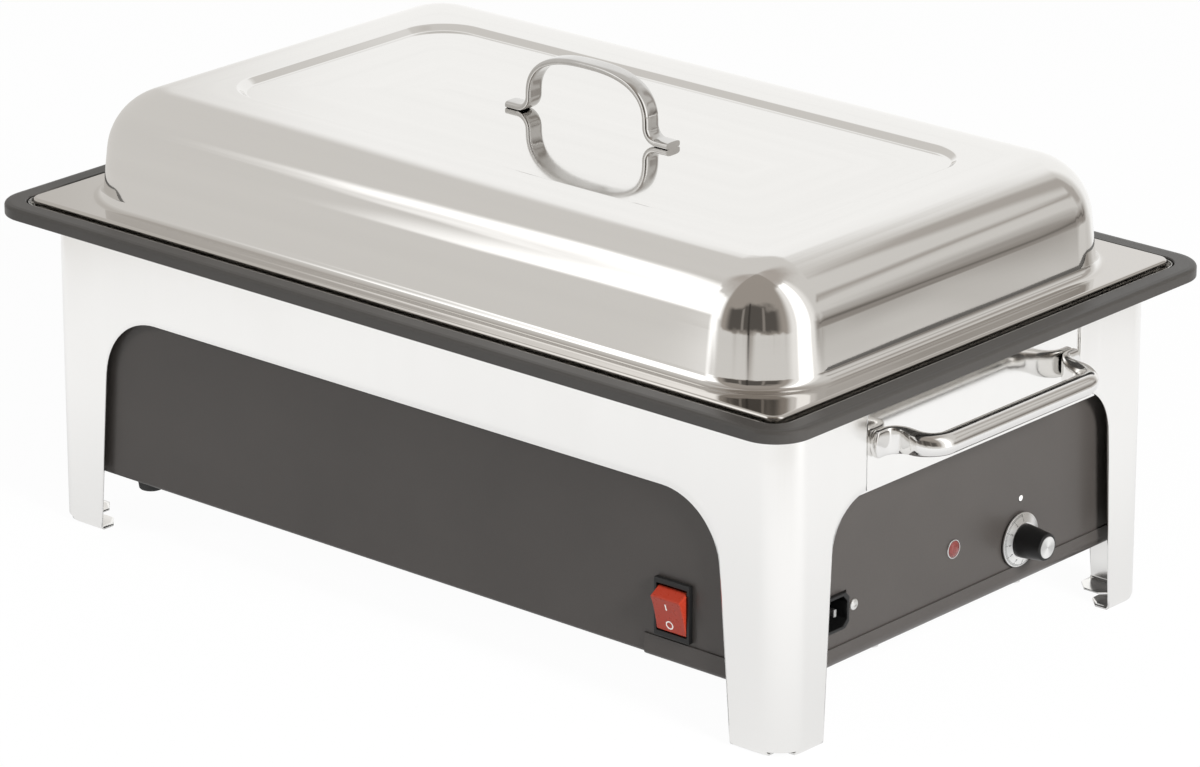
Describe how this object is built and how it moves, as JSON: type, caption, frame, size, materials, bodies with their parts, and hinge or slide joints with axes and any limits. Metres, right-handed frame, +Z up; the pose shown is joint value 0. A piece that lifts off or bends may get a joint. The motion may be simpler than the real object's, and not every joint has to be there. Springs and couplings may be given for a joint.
{
  "type": "electric chafing dish",
  "caption": "Countertop food warmer: domed lift-off lid with bow handle, food pan over a heated water tank, black rim and stainless stand with carry handles.",
  "frame": {"origin": "on the supporting surface under the centre of the stand", "axes": "+Z up; +X along the long side towards the end with the thermostat knob; -Y towards the side with the switch"},
  "size_m": [0.594, 0.361, 0.284],
  "materials": {
    "polished_steel": "polished stainless steel",
    "satin_steel": "satin stainless steel",
    "black_rim": "moulded heat-resistant plastic, satin",
    "grey_powder": "dark grey powder coat",
    "zinc_steel": "zinc-plated steel",
    "aluminium": "rolled aluminium",
    "black_rubber": "moulded rubber",
    "black_plastic": "moulded plastic",
    "red_plastic": "translucent red plastic",
    "brass": "plain",
    "ceramic_white": "unglazed ceramic",
    "mineral_board": "pressed mineral fibre board",
    "brown_silicone": "silicone insulation",
    "blue_silicone": "silicone insulation",
    "green_silicone": "silicone insulation, green and yellow"
  },
  "bodies": {
    "base": {"bottom_cover": "grey_powder", "bottom_cover_screws": "zinc_steel", "bulb_clips": "brass", "capillary_tube": "brass", "carry_handle_screws": "zinc_steel", "clamp_studs": "zinc_steel", "earth_lead": "green_silicone", "earth_stud": "zinc_steel", "element_clamps": "zinc_steel", "element_insulators": "ceramic_white", "element_terminals": "zinc_steel", "front_stand_panel": "polished_steel", "hanger_brackets": "zinc_steel", "hanger_rivets": "zinc_steel", "heat_shield": "zinc_steel", "heat_spreader_plate": "aluminium", "heater_housing": "grey_powder", "heating_element": "satin_steel", "housing_feet": "black_rubber", "housing_foot_screws": "zinc_steel", "indicator_bezel": "polished_steel", "indicator_lamp": "black_plastic", "indicator_lens": "red_plastic", "indicator_nut": "black_plastic", "inlet_blades": "brass", "inlet_screws": "zinc_steel", "insulation_board": "mineral_board", "left_carry_handle": "polished_steel", "left_end_panel": "polished_steel", "live_leads": "brown_silicone", "neutral_leads": "blue_silicone", "plastic_rim": "black_rim", "power_inlet": "black_plastic", "rear_stand_panel": "polished_steel", "right_carry_handle": "polished_steel", "right_end_panel": "polished_steel", "rim_screws": "zinc_steel", "sensor_bulb": "satin_steel", "switch_body": "black_plastic", "switch_terminals": "brass", "tank_floor": "polished_steel", "terminal_block": "black_plastic", "terminal_screws": "brass", "thermal_cut_out": "ceramic_white", "thermostat_body": "black_plastic", "thermostat_bush": "brass", "thermostat_nut": "brass", "water_tank": "polished_steel"},
    "food_pan": {"food_pan": "polished_steel"},
    "lid": {"lid_shell": "polished_steel", "lid_handle": "polished_steel"},
    "thermostat_knob": {"knob_dial": "satin_steel", "knob_grip": "black_plastic", "knob_cap": "polished_steel", "thermostat_shaft": "satin_steel"},
    "switch_rocker": {"switch_rocker": "red_plastic"}
  },
  "joints": [
    {"name": "pan_lift", "type": "slide", "parent": "base", "child": "food_pan", "axis": [0, 0, 1], "range_m": [0, 0.1]},
    {"name": "lid_lift", "type": "slide", "parent": "food_pan", "child": "lid", "axis": [0, 0, 1], "range_m": [0, 0.15]},
    {"name": "thermostat_turn", "type": "hinge", "parent": "base", "child": "thermostat_knob", "pos_m": [0.2644, 0.052, 0.0595], "axis": [-1, 0, 0], "range_deg": [0, 270]},
    {"name": "switch_tilt", "type": "hinge", "parent": "base", "child": "switch_rocker", "pos_m": [0.188, -0.146, 0.0627], "axis": [-1, 0, 0], "range_deg": [0, 30.4]}
  ]
}
